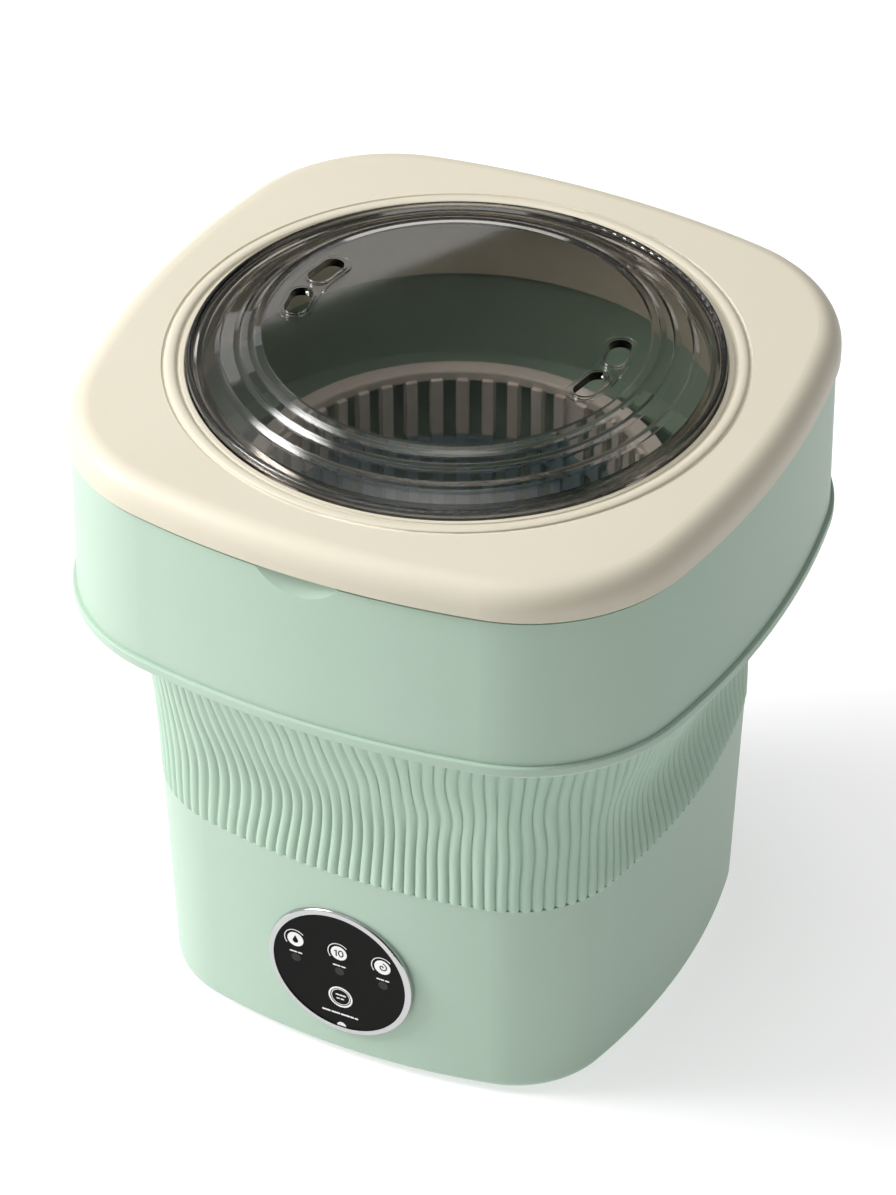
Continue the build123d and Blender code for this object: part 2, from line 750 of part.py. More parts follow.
screw_ring = 165.0
clamp_inner_half = 150.8
upper_clamp_z = bellows_top_z - 4.5
with BuildPart() as upper_clamp_ring:
    soft_block(flange_half, flange_corner, upper_clamp_z, upper_clamp_z + 2.5)
    soft_block(clamp_inner_half, 134.0, upper_clamp_z - 1, upper_clamp_z + 4, mode=Mode.SUBTRACT)
    with BuildSketch(Plane.XY.offset(upper_clamp_z)):
        with ring_places(screw_ring, 4, start=45):
            Circle(1.5)
    extrude(amount=4, mode=Mode.SUBTRACT)
save(upper_clamp_ring, "upper_clamp_ring")

with BuildPart() as upper_clamp_screws:
    with BuildSketch(Plane.XY.offset(upper_clamp_z - 1.8)):
        with ring_places(screw_ring, 4, start=45):
            Circle(2.8)
    extrude(amount=1.8)
    with BuildSketch(Plane.XY.offset(upper_clamp_z)):
        with ring_places(screw_ring, 4, start=45):
            Circle(1.5)
    extrude(amount=2.5)
save(upper_clamp_screws, "upper_clamp_screws")

with BuildPart() as liner_screws:
    with BuildSketch(Plane.XY.offset(liner_top_z)):
        with ring_places(150.0, 4):
            Circle(2.8)
    extrude(amount=2)
save(liner_screws, "liner_screws")

# Cover ----------------------------------------------------------------------
seat_radius = lid_radius + 0.6
with BuildPart() as top_cover:
    soft_block(cover_half, cover_corner, cover_z, cover_top_z)
    fillet(top_cover.faces().sort_by(Axis.Z)[-1].edges(), cover_edge)
    fillet(top_cover.faces().sort_by(Axis.Z)[0].edges(), 1.2)
    soft_block(cover_half - 4, cover_corner - 4, cover_z - 1, cover_z + 4, mode=Mode.SUBTRACT)
    soft_block(cover_half - 9, cover_corner - 9, cover_z, cover_top_z - cover_plate,
               mode=Mode.SUBTRACT)
    drum(opening_radius, cover_z, cover_top_z + 1, mode=Mode.SUBTRACT)
    drum(seat_radius, lid_seat_z, cover_top_z + 1, mode=Mode.SUBTRACT)
    # raised bead between two fine grooves round the lid
    with BuildSketch(Plane.XZ):
        with Locations((133.6, cover_top_z)):
            Circle(0.9)
        with Locations((126.8, cover_top_z)):
            Circle(0.8)
    revolve(axis=Axis.Z, mode=Mode.SUBTRACT)
    with BuildSketch(Plane.XZ):
        with Locations((130.2, cover_top_z)):
            Ellipse(2.5, 0.9)
    revolve(axis=Axis.Z)
    fillet(top_cover.edges().filter_by(GeomType.CIRCLE).filter_by(
        lambda edge: abs(edge.radius - seat_radius) < 0.01
        and edge.center().Z > cover_top_z - 0.5), 0.8)
save(top_cover, "top_cover")

with BuildPart() as cover_tongue:
    soft_block(upper_half - wall - gap, upper_corner - wall, upper_top_z - 6, cover_z + 4)
    soft_block(upper_half - wall - gap - 4, upper_corner - wall - 4, upper_top_z - 7, cover_top_z,
               mode=Mode.SUBTRACT)
    with BuildSketch(Plane.XY.offset(upper_top_z - 7)):
        with Locations((0, -upper_half)):
            Rectangle(2 * pad_half_width + 6, 24)
    extrude(amount=20, mode=Mode.SUBTRACT)
save(cover_tongue, "cover_tongue")

skirt_z = 288.0
with BuildPart() as splash_skirt:
    drum(126.5, skirt_z, cover_top_z - cover_plate)
    drum(133.0, cover_top_z - cover_plate - 2, cover_top_z - cover_plate)
    drum(124.0, skirt_z - 1, cover_top_z, mode=Mode.SUBTRACT)
    fillet(splash_skirt.faces().sort_by(Axis.Z)[0].edges(), 1.0)
save(splash_skirt, "splash_skirt")

with BuildPart() as skirt_screws:
    with BuildSketch(Plane.XY.offset(cover_top_z - cover_plate - 3.8)):
        with ring_places(130.0, 6, start=30):
            Circle(2.4)
    extrude(amount=1.8)
save(skirt_screws, "skirt_screws")

with BuildPart() as lid_gasket:
    drum(seat_radius - 0.4, lid_seat_z, lid_seat_z + 0.8)
    drum(opening_radius + 1, lid_seat_z - 1, lid_seat_z + 2, mode=Mode.SUBTRACT)
save(lid_gasket, "lid_gasket")

# Lid ------------------------------------------------------------------------
lid_z = lid_seat_z + 1.1
lid_wall = 3.0
lid_profile = (
    (120.2, 331.6), (110.0, 335.0), (107.6, 337.6), (101.2, 338.8),
    (98.8, 341.0), (94.8, 341.8), (92.4, 343.6), (88.8, 344.6),
)
plateau_z = 344.6
finger_radius = 75.0
finger_spread = 10.4        # degrees either side of the X axis
finger_length = 21.0
finger_width = 10.5
pad_arc = CenterArc((0, 0), finger_radius, -finger_spread - 5, 2 * finger_spread + 10)

with BuildPart() as lid:
    with BuildSketch(Plane.XZ):
        with BuildLine():
            Polyline((lid_radius - 4.5, lid_z), (lid_radius, lid_z), (lid_radius, 331.0))
            ThreePointArc((lid_radius, 331.0), (121.9, 332.4), lid_profile[0])
            Polyline(*lid_profile, (0.0, plateau_z), (0.0, plateau_z - lid_wall))
            Polyline(
                (0.0, plateau_z - lid_wall), (88.2, plateau_z - lid_wall),
                (91.6, 343.4 - lid_wall), (93.8, 341.8 - lid_wall), (97.8, 340.8 - lid_wall),
                (100.2, 338.6 - lid_wall), (106.6, 337.4 - lid_wall),
                (109.0, 334.8 - lid_wall), (115.0, 329.6), (lid_radius - 4.5, lid_z),
            )
        section = make_face()
        fillet(section.vertices().filter_by(
            lambda corner: 91.0 < corner.X < 111.0), 0.9)
    revolve(axis=Axis.Z)
    # locating ring under the rim
    with BuildSketch(Plane.XY.offset(322.0)):
        Circle(opening_radius - 0.6)
        Circle(opening_radius - 3.2, mode=Mode.SUBTRACT)
    extrude(amount=8.5)
    # raised pads round each pair of finger slots, and the slots through them
    with BuildSketch(Plane.XY.offset(343.0)):
        SlotArc(pad_arc, finger_width + 4.6)
        SlotArc(pad_arc, finger_width + 4.6, rotation=180)
    extrude(amount=2.3)
    for side in (0, 180):
        for turn in (side - finger_spread, side + finger_spread):
            place_x = finger_radius * math.cos(math.radians(turn))
            place_y = finger_radius * math.sin(math.radians(turn))
            with BuildSketch(Plane.XY.offset(343.0)):
                with Locations(Location((place_x, place_y), turn + 90)):
                    SlotOverall(finger_length + 2.4, finger_width + 2.4)
            extrude(amount=3.0)
            with BuildSketch(Plane.XY.offset(335.0)):
                with Locations(Location((place_x, place_y), turn + 90)):
                    SlotOverall(finger_length, finger_width)
            extrude(amount=15.0, mode=Mode.SUBTRACT)
save(lid, "lid")

# Basket ---------------------------------------------------------------------
slot_angles = [
    index * 360 / slot_count - 9.0
    for index in range(slot_count)
    if index % blank_every
]
rib_proud = 2.4
rib_angles = [(index + 0.5) * 360 / slot_count - 9.0 for index in range(slot_count)]


def cut_slots(rows):
    """Cut the rows of upright slots through the wall of the basket being built."""
    with BuildSketch(mode=Mode.PRIVATE) as slots:
        for angle in slot_angles:
            with PolarLocations(basket_radius + 1, 1, start_angle=angle):
                Rectangle(12, slot_width)
    for low, high in rows:
        extrude(Plane.XY.offset(low) * slots.sketch, amount=high - low, mode=Mode.SUBTRACT)


def add_ribs(low, high):
    """Upright ribs on the inside of the wall, between the slots."""
    with BuildSketch(mode=Mode.PRIVATE) as ribs:
        for angle in rib_angles:
            with PolarLocations(basket_radius - 0.6, 1, start_angle=angle):
                Rectangle(rib_proud + 1.2, slot_width - 0.8)
    extrude(Plane.XY.offset(low) * ribs.sketch, amount=high - low)


with BuildPart() as basket_ring:
    drum(basket_radius + 2.2, basket_split_z, basket_top_z)
    drum(basket_rim_radius, basket_top_z - 7, basket_top_z)
    drum(basket_rim_radius - 1.8, basket_top_z - 8, basket_top_z - 2.2, mode=Mode.SUBTRACT)
    drum(basket_radius + 2.2, basket_top_z - 9, basket_top_z - 2)
    drum(basket_radius, basket_split_z - 1, basket_top_z + 1, mode=Mode.SUBTRACT)
    fillet(basket_ring.faces().sort_by(Axis.Z)[-1].edges(), 1.0)
    add_ribs(basket_split_z, basket_top_z - 4)
    cut_slots(((basket_split_z - 1, slot_rows[0][1]),))
save(basket_ring, "basket_ring")

with BuildPart() as basket_cup:
    drum(basket_radius + 2.2, basket_floor_z, basket_split_z)
    fillet(basket_cup.faces().sort_by(Axis.Z)[0].edges(), 5)
    drum(basket_radius, basket_floor_z + 2.5, basket_split_z + 1, mode=Mode.SUBTRACT)
    add_ribs(basket_floor_z + 6, basket_split_z)
    cut_slots(((slot_rows[0][0], basket_split_z + 1), slot_rows[1], slot_rows[2]))
    drum(hub_radius + 0.6, basket_floor_z - 1, basket_floor_z + 4, mode=Mode.SUBTRACT)
    with BuildSketch(Plane.XY.offset(basket_floor_z - 1)):
        for radius, count in ((30.0, 12), (46.0, 18), (62.0, 24), (78.0, 30)):
            with ring_places(radius, count):
                Circle(2.4)
    extrude(amount=5, mode=Mode.SUBTRACT)
save(basket_cup, "basket_cup")
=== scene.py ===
import json
import math

import bmesh
import bpy
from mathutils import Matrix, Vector


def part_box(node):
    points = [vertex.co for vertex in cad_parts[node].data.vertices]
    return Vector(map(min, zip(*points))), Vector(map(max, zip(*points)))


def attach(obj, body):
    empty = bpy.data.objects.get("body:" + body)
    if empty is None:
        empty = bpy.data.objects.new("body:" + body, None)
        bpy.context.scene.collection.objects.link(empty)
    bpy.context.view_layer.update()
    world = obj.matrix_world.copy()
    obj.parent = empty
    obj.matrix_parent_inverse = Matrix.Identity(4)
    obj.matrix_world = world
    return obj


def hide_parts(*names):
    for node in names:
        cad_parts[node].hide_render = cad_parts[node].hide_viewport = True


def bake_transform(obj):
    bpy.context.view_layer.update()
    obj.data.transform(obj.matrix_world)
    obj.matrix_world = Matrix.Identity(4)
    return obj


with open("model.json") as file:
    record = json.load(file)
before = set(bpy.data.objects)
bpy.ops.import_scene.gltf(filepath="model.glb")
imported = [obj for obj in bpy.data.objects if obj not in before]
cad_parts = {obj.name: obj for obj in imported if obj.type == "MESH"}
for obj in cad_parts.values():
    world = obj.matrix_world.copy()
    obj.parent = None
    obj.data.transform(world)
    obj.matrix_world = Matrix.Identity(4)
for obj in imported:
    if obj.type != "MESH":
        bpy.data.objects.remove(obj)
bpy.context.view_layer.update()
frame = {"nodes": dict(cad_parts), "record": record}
nodes = frame["nodes"]
MM = 0.001


# Materials ----------------------------------------------------------------------
NOISE_LOW, NOISE_HIGH = 0.3, 0.7      # the part of the noise's range that is spread out


def new_material(name):
    """New node material; returns it, its node tree and its Principled shader."""
    made = bpy.data.materials.new(name)
    made.use_nodes = True
    tree = made.node_tree
    return made, tree, tree.nodes["Principled BSDF"]


def noise(tree, scale, detail=3.0, stretch=None):
    """Noise in object space, optionally stretched along the axes."""
    place = tree.nodes.new("ShaderNodeTexCoord")
    source = place.outputs["Object"]
    if stretch:
        mapping = tree.nodes.new("ShaderNodeMapping")
        mapping.inputs["Scale"].default_value = stretch
        tree.links.new(source, mapping.inputs["Vector"])
        source = mapping.outputs["Vector"]
    texture = tree.nodes.new("ShaderNodeTexNoise")
    texture.inputs["Scale"].default_value = scale
    texture.inputs["Detail"].default_value = detail
    tree.links.new(source, texture.inputs["Vector"])
    return texture.outputs["Fac"]


def ramp(tree, source, low, high):
    """Colour between two tones, by a noise."""
    node = tree.nodes.new("ShaderNodeValToRGB")
    node.color_ramp.elements[0].position = NOISE_LOW
    node.color_ramp.elements[0].color = (*low, 1.0)
    node.color_ramp.elements[1].position = NOISE_HIGH
    node.color_ramp.elements[1].color = (*high, 1.0)
    tree.links.new(source, node.inputs["Fac"])
    return node.outputs["Color"]


def span(tree, source, low, high):
    """Value between two limits, by a noise."""
    node = tree.nodes.new("ShaderNodeMapRange")
    node.inputs["From Min"].default_value = NOISE_LOW
    node.inputs["From Max"].default_value = NOISE_HIGH
    node.inputs["To Min"].default_value = low
    node.inputs["To Max"].default_value = high
    tree.links.new(source, node.inputs["Value"])
    return node.outputs["Result"]


def bump(tree, shader, source, distance):
    """Relief from a value; the distance is its height in metres."""
    node = tree.nodes.new("ShaderNodeBump")
    node.inputs["Strength"].default_value = 1.0
    node.inputs["Distance"].default_value = distance
    tree.links.new(source, node.inputs["Height"])
    tree.links.new(node.outputs["Normal"], shader.inputs["Normal"])


def surface(name, low, high, rough, grain=900.0, relief=0.00002, patch=9.0, metallic=0.0,
            specular=0.5, stretch=None):
    """Material whose tone and gloss drift a little, with a fine grain in its relief."""
    made, tree, shader = new_material(name)
    shader.inputs["Metallic"].default_value = metallic
    shader.inputs["Specular IOR Level"].default_value = specular
    drift = noise(tree, patch, detail=4.0)
    tree.links.new(ramp(tree, drift, low, high), shader.inputs["Base Color"])
    fine = noise(tree, grain, detail=2.0, stretch=stretch)
    tree.links.new(span(tree, fine, rough[0], rough[1]), shader.inputs["Roughness"])
    bump(tree, shader, fine, relief)
    return made


def smoked_glass(name):
    """Clear moulded plastic with a smoky tint that deepens with thickness."""
    made, tree, shader = new_material(name)
    shader.inputs["Base Color"].default_value = (0.93, 0.92, 0.90, 1.0)
    shader.inputs["Transmission Weight"].default_value = 1.0
    shader.inputs["IOR"].default_value = 1.49
    shader.inputs["Specular IOR Level"].default_value = 0.36
    wear = noise(tree, 160.0, detail=5.0)
    tree.links.new(span(tree, wear, 0.012, 0.035), shader.inputs["Roughness"])
    bump(tree, shader, noise(tree, 900.0, detail=1.0), 0.000002)
    tint = tree.nodes.new("ShaderNodeVolumeAbsorption")
    tint.inputs["Color"].default_value = (0.44, 0.39, 0.33, 1.0)
    tint.inputs["Density"].default_value = 76.0
    tree.links.new(tint.outputs["Volume"], tree.nodes["Material Output"].inputs["Volume"])
    return made


materials = {
    "mint_shell": surface("mint_shell", (0.412, 0.540, 0.438), (0.427, 0.555, 0.453),
                          (0.36, 0.46), grain=1400.0, relief=0.000012, specular=0.28),
    "cream_shell": surface("cream_shell", (0.625, 0.578, 0.462), (0.645, 0.598, 0.482),
                           (0.38, 0.48), grain=1400.0, relief=0.000012, specular=0.35),
    "mint_rubber": surface("mint_rubber", (0.420, 0.568, 0.452), (0.440, 0.588, 0.472),
                           (0.42, 0.56), grain=1000.0, relief=0.000025, specular=0.28),
    "smoked_lid": smoked_glass("smoked_lid"),
    "panel_black": surface("panel_black", (0.0060, 0.0058, 0.0056), (0.0080, 0.0076, 0.0072),
                           (0.05, 0.11), grain=300.0, relief=0.000002, specular=0.06),
    "chrome_ring": surface("chrome_ring", (0.50, 0.51, 0.51), (0.56, 0.56, 0.56),
                           (0.06, 0.13), grain=500.0, relief=0.000004, metallic=1.0),
    "key_white": surface("key_white", (0.80, 0.80, 0.79), (0.86, 0.86, 0.85), (0.28, 0.40)),
    "basket_cream": surface("basket_cream", (0.76, 0.70, 0.64), (0.80, 0.74, 0.68),
                            (0.34, 0.46), grain=1100.0),
    "basket_blue": surface("basket_blue", (0.30, 0.42, 0.46), (0.34, 0.46, 0.50),
                           (0.32, 0.44), grain=1100.0),
    "black_rubber": surface("black_rubber", (0.018, 0.018, 0.018), (0.030, 0.030, 0.029),
                            (0.62, 0.82), grain=1600.0, relief=0.00004),
    "dark_plastic": surface("dark_plastic", (0.026, 0.027, 0.028), (0.036, 0.037, 0.038),
                            (0.36, 0.50), grain=1300.0),
    "grey_plastic": surface("grey_plastic", (0.34, 0.35, 0.35), (0.39, 0.40, 0.40),
                            (0.40, 0.52), grain=1300.0),
    "tube_grey": surface("tube_grey", (0.42, 0.44, 0.43), (0.48, 0.50, 0.49),
                         (0.30, 0.44), grain=700.0),
    "steel": surface("steel", (0.52, 0.52, 0.53), (0.62, 0.62, 0.63), (0.22, 0.36),
                     grain=600.0, metallic=1.0, stretch=(1.0, 1.0, 0.12)),
    "motor_metal": surface("motor_metal", (0.44, 0.44, 0.43), (0.53, 0.53, 0.52), (0.30, 0.46),
                           grain=800.0, metallic=1.0, stretch=(1.0, 1.0, 0.1)),
    "pulley_white": surface("pulley_white", (0.70, 0.70, 0.67), (0.75, 0.75, 0.72),
                            (0.40, 0.52), grain=1200.0),
    "circuit_green": surface("circuit_green", (0.020, 0.120, 0.050), (0.030, 0.160, 0.070),
                             (0.30, 0.50), grain=700.0, patch=140.0),
    "component_dark": surface("component_dark", (0.020, 0.020, 0.022), (0.050, 0.050, 0.054),
                              (0.30, 0.50), grain=900.0, patch=60.0),
    "led_lens": surface("led_lens", (0.55, 0.30, 0.24), (0.64, 0.38, 0.30), (0.12, 0.22)),
}
dot_grey = surface("dot_grey", (0.030, 0.030, 0.030), (0.036, 0.036, 0.036), (0.30, 0.42),
                   specular=0.1)
for part in frame["record"]["subparts"]:
    target = nodes[part["node"]]
    target.data.materials.clear()
    target.data.materials.append(materials[part["material_slot"]])


# Pieces -------------------------------------------------------------------------
def piece(name, build, material, body=None, smooth=True):
    """Mesh object from a bmesh, with a material, riding on a body."""
    bmesh.ops.recalc_face_normals(build, faces=build.faces)
    mesh = bpy.data.meshes.new(name)
    build.to_mesh(mesh)
    build.free()
    mesh.materials.append(material)
    for polygon in mesh.polygons:
        polygon.use_smooth = smooth
    made = bpy.data.objects.new(name, mesh)
    bpy.context.scene.collection.objects.link(made)
    if body:
        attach(made, body)
    return made


# Ribbed bellows -----------------------------------------------------------------
# Each outline is a square of half width h with round corners, and its sides are bowed at a
# radius of bow * h. Lengths in this part and the next are millimetres.
def reach(angle, half, corner, bow):
    """Distance from the axis to the soft square outline, in a direction."""
    turn = abs((angle + math.pi / 4) % (math.pi / 2) - math.pi / 4)
    side_radius = bow * half
    back = side_radius - half
    spread = 2 * (side_radius - corner) ** 2 - back ** 2
    centre = (math.sqrt(spread) - back) / 2
    aim = Vector((centre + back, centre)).normalized() * side_radius - Vector((back, 0.0))
    if turn <= math.atan2(aim.y, aim.x):
        return -back * math.cos(turn) + math.sqrt(side_radius ** 2 - (back * math.sin(turn)) ** 2)
    along = centre * (math.cos(turn) + math.sin(turn))
    across = centre * (math.sin(turn) - math.cos(turn))
    return along + math.sqrt(corner ** 2 - across ** 2)


sleeve_low, sleeve_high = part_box("bellows")
seam_z = sleeve_low.z / MM
flange_thick = 2.0                # flange at the sleeve's top
flange_z = sleeve_high.z / MM - flange_thick
sections = (                      # height, half width, corner radius, bow
    (seam_z, 124.0, 57.0, 2.7),
    (148.0, 117.5, 48.0, 12.0),
    (183.0, 130.0, 70.0, 2.7),
    (flange_z, 149.0, 132.0, 2.7),
)
rib_count = 152
rib_columns = 10                  # columns of points across one rib
rib_depth = 1.9
rib_roll = 3.4                    # height of a rib's rounded end
rib_drop = 1.1                    # how far a rib's end hangs over the base's edge
rib_share = 0.45                  # share of a rib's depth that lies inside the mean wall
rib_proud = (1 - rib_share) * rib_depth
rib_start = 0.15                  # a rib's rounded end starts this far outside the wall
rib_settle = 12.0                 # ribs fade out over this height under the flange
roll_rows = 5
sleeve_rows = 44
sleeve_wall = 2.0                 # thickness of the soft wall
foot_half, foot_corner = 112.0, 44.0          # inner edge of the lower flange
flange_half, flange_corner = 154.8, 79.0      # outer edge of the top flange
soft_bow = 2.7


def hermite(values, heights, z):
    """Smooth value at a height, through values given at rising heights."""
    count = len(heights)
    slopes = []
    for i in range(count):
        a, b = max(i - 1, 0), min(i + 1, count - 1)
        slopes.append((values[b] - values[a]) / (heights[b] - heights[a]))
    k = max(i for i in range(count - 1) if heights[i] <= z + 1e-9)
    width = heights[k + 1] - heights[k]
    t = (z - heights[k]) / width
    return (values[k] * (2 * t ** 3 - 3 * t ** 2 + 1) + slopes[k] * width * (t ** 3 - 2 * t ** 2 + t)
            + values[k + 1] * (3 * t ** 2 - 2 * t ** 3) + slopes[k + 1] * width * (t ** 3 - t ** 2))


def even_angles(count, half, corner, bow):
    """Directions that divide the outline into equal lengths."""
    steps = 7200
    places = [0.0]
    before = reach(0.0, half, corner, bow)
    for i in range(1, steps + 1):
        angle = 2 * math.pi * i / steps
        now = reach(angle, half, corner, bow)
        places.append(places[-1] + math.hypot(now - before, before * 2 * math.pi / steps))
        before = now
    total, found, i = places[-1], [], 0
    for k in range(count):
        while places[i + 1] < total * k / count:
            i += 1
        part = (total * k / count - places[i]) / (places[i + 1] - places[i])
        found.append(2 * math.pi * (i + part) / steps)
    return found


sway_from, sway_rise = 124.0, 40.0    # the ribs' wander starts at this height and grows over the rise
sway_waves = (                    # swing in radians, waves round the sleeve, turn for each mm of height
    (0.0060, 5, 0.085),
    (0.0040, 14, -0.120),
    (0.0018, 46, 0.070),
)


def sway(index, z):
    """Slight sideways wander of a rib, in radians, that grows up the sleeve."""
    lift = min(1.0, max(0.0, (z - sway_from) / sway_rise))
    around = 2 * math.pi * index / rib_count
    return lift * sum(swing * math.sin(waves * around + turn * z)
                      for swing, waves, turn in sway_waves)


def ribbed_sleeve():
    """Closed soft wall: ribbed outside, plain inside, with a flange at both ends."""
    build = bmesh.new()
    columns = rib_count * rib_columns
    directions = even_angles(columns, *sections[0][1:])
    heights = [row[0] for row in sections]
    rings = []

    def add_ring(height_of, radius_of):
        rings.append([
            build.verts.new((radius_of(c) * math.cos(turned[c]) * MM,
                             radius_of(c) * math.sin(turned[c]) * MM, height_of(c) * MM))
            for c in range(columns)])

    def wall_at(z):
        return [hermite([reach(a, *row[1:]) for row in sections], heights, z) for a in directions]

    crests = [math.sqrt(abs(math.cos(math.pi * ((c % rib_columns) / rib_columns - 0.5))))
              if c % rib_columns else 0.0 for c in range(columns)]
    turned = directions
    add_ring(lambda c: seam_z, lambda c: reach(directions[c], foot_half, foot_corner, soft_bow))
    # rounded ends of the ribs
    for k in range(roll_rows):
        part = math.radians(90.0 * k / roll_rows)
        rise = rib_roll * (1 - math.cos(part))
        wall = wall_at(seam_z + rise)
        add_ring(lambda c: seam_z + rise - rib_drop * crests[c] * math.cos(part),
                 lambda c: wall[c] + crests[c] * (rib_start + (rib_proud - rib_start) * math.sin(part))
                 - rib_share * rib_depth * (1 - crests[c]))
    levels = [seam_z + rib_roll + (flange_z - seam_z - rib_roll) * k / sleeve_rows
              for k in range(sleeve_rows + 1)]
    walls = [wall_at(z) for z in levels]
    for z, wall in zip(levels, walls):
        turned = [a + sway(c // rib_columns, z) for c, a in enumerate(directions)]
        settle = min(1.0, (flange_z - z) / rib_settle)
        add_ring(lambda c: z, lambda c: wall[c] + rib_depth * (crests[c] * settle - rib_share))
    turned = directions
    for z in (flange_z, flange_z + flange_thick):
        add_ring(lambda c: z, lambda c: reach(directions[c], flange_half, flange_corner, soft_bow))
    for z, wall in reversed(list(zip(levels, walls))):
        top = flange_thick if z == levels[-1] else 0.0
        add_ring(lambda c: z + top, lambda c: wall[c] - sleeve_wall - rib_depth * rib_share)
    add_ring(lambda c: seam_z + sleeve_wall,
             lambda c: reach(directions[c], foot_half, foot_corner, soft_bow))
    count = len(rings)
    for r in range(count):
        low, high = rings[r], rings[(r + 1) % count]
        for c in range(columns):
            d = (c + 1) % columns
            build.faces.new((low[c], low[d], high[d], high[c]))
    return build


sleeve = piece("bellows_ribbed", ribbed_sleeve(), materials["mint_rubber"])
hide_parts("bellows")
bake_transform(sleeve)


# Marks on the touch panel -------------------------------------------------------
panel_tilt = math.radians(2.27)       # lean of the base's front
glass_low, glass_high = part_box("control_glass")
glass_radius = (glass_high.x - glass_low.x) / 2 / MM
panel_out = Vector((0.0, -math.cos(panel_tilt), -math.sin(panel_tilt)))
panel_up = Vector((0.0, -math.sin(panel_tilt), math.cos(panel_tilt)))
panel_right = Vector((1.0, 0.0, 0.0))
key_pitch = 22.8                  # the keys' spacing, and their height over the middle
key_height = 12.2
key_radius = 4.2
start_height = -15.7              # the start key, under the middle
panel_middle = Vector((0.0, 0.0, 0.055))
panel_middle.y = glass_low.y + glass_radius * MM * math.sin(panel_tilt)
key_face = 0.12                   # the key discs stand this far over the glass


def on_panel(u, v, lift):
    """Point of the panel plane: right, up and out of the glass, in millimetres."""
    return panel_middle + (panel_right * u + panel_up * v + panel_out * lift) * MM


def slab(build, outline, low, high):
    """Thin plate with a closed outline on the panel."""
    under = [build.verts.new(on_panel(u, v, low)) for u, v in outline]
    over = [build.verts.new(on_panel(u, v, high)) for u, v in outline]
    build.faces.new(over)
    build.faces.new(list(reversed(under)))
    for i in range(len(outline)):
        j = (i + 1) % len(outline)
        build.faces.new((under[i], under[j], over[j], over[i]))


def stroke(build, path, width, low, high):
    """Thin plate along a path, with round ends."""
    left, right = [], []
    for i, (u, v) in enumerate(path):
        a = Vector(path[max(i - 1, 0)])
        b = Vector(path[min(i + 1, len(path) - 1)])
        along = (b - a).normalized()
        side = Vector((-along.y, along.x)) * width / 2
        left.append((u + side.x, v + side.y))
        right.append((u - side.x, v - side.y))

    def cap(at, toward):
        heading = math.atan2(toward[1] - at[1], toward[0] - at[0])
        return [(at[0] + width / 2 * math.cos(heading + math.pi / 2 + k * math.pi / 6),
                 at[1] + width / 2 * math.sin(heading + math.pi / 2 + k * math.pi / 6))
                for k in range(1, 6)]

    tail = cap(path[0], path[1])
    tip = cap(path[-1], path[-2])
    slab(build, left + list(reversed(tip)) + list(reversed(right)) + list(reversed(tail)), low, high)


def ring_plate(build, u, v, outer, inner, low, high, count=56):
    """Flat ring on the panel."""
    loops = []
    for radius, lift in ((outer, low), (outer, high), (inner, high), (inner, low)):
        loops.append([build.verts.new(on_panel(u + radius * math.cos(2 * math.pi * k / count),
                                               v + radius * math.sin(2 * math.pi * k / count), lift))
                      for k in range(count)])
    for r in range(4):
        a, b = loops[r], loops[(r + 1) % 4]
        for k in range(count):
            m = (k + 1) % count
            build.faces.new((a[k], a[m], b[m], b[k]))


def circle(u, v, radius, count=40, start=0.0, sweep=360.0):
    """Points along a circle or an arc."""
    steps = count if sweep >= 360 else count + 1
    return [(u + radius * math.cos(math.radians(start + sweep * k / count)),
             v + radius * math.sin(math.radians(start + sweep * k / count)))
            for k in range(steps)]


mark_low, mark_high = -0.05, 0.06     # heights of the printed marks over the glass
row_stroke = 0.75                 # thickness of the bars that stand for small words

white_marks = bmesh.new()
for u in (-key_pitch, 0.0, key_pitch):
    stroke(white_marks, circle(u, key_height, key_radius + 1.5, 30, start=45, sweep=170),
           0.42, mark_low, mark_high)
    caption = key_height - 8.0
    for k, length in enumerate((1.5, 1.1, 1.6)):
        left = u - 3.0 + 2.2 * k
        stroke(white_marks, [(left, caption), (left + length, caption)],
               row_stroke, mark_low, mark_high)
ring_plate(white_marks, 0.0, start_height, 4.9, 4.55, mark_low, mark_high)
for row, pattern in ((1.15, (-2.0, -0.1, 1.7)), (-1.15, (-1.6, 0.6))):
    for place in pattern:
        stroke(white_marks, [(place - 0.25, start_height + row), (place + 0.85, start_height + row)],
               row_stroke, mark_low, mark_high)
legend = -26.6                    # height of the long row of bars
for k, length in enumerate((1.7, 1.2, 1.9, 1.3, 1.7, 1.5, 1.2, 1.0)):
    left = -9.6 + 2.45 * k
    stroke(white_marks, [(left, legend), (left + length, legend)], 0.95, mark_low, mark_high)
piece("panel_marks", white_marks, materials["key_white"], "base", smooth=False)

grey_dots = bmesh.new()
for u in (-key_pitch, 0.0, key_pitch):
    slab(grey_dots, circle(u, 0.7, 2.4), mark_low, mark_high)
piece("panel_dots", grey_dots, dot_grey, "base", smooth=False)

